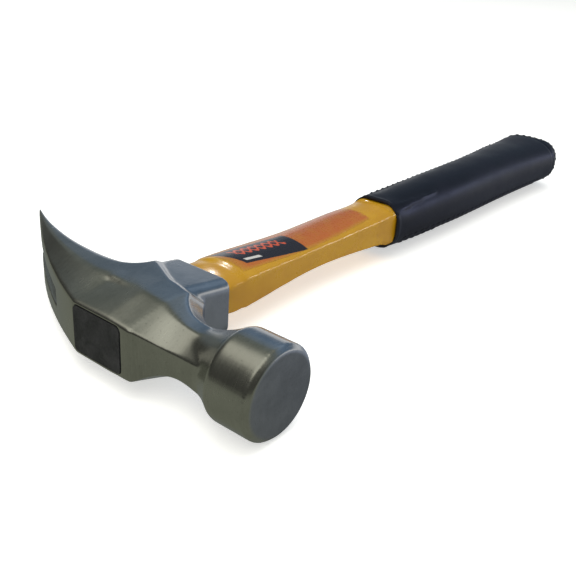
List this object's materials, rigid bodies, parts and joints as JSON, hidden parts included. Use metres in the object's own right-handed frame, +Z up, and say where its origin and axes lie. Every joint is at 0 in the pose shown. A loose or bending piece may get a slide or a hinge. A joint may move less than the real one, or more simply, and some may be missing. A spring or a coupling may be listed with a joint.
{
  "type": "claw hammer",
  "caption": "Claw hammer with a polished forged steel head, yellow fibreglass handle and black rubber grip, lying on its side.",
  "frame": {"origin": "centre of the underside of the hammer's bounding box, as it lies on its side", "axes": "+X along the handle from the head to the butt, striking face looks along -Y, +Z up, square to the side of the head"},
  "size_m": [0.323, 0.1318, 0.029],
  "materials": {
    "forged_steel": "satin polished",
    "epoxy": "matte",
    "fibreglass": "matte",
    "yellow_jacket": "gloss",
    "black_rubber": "satin",
    "label_film": "gloss"
  },
  "bodies": {
    "root": {"head": "forged_steel", "epoxy_fill": "epoxy", "fibreglass_core": "fibreglass", "handle_jacket": "yellow_jacket", "grip": "black_rubber", "label": "label_film"}
  },
  "joints": []
}
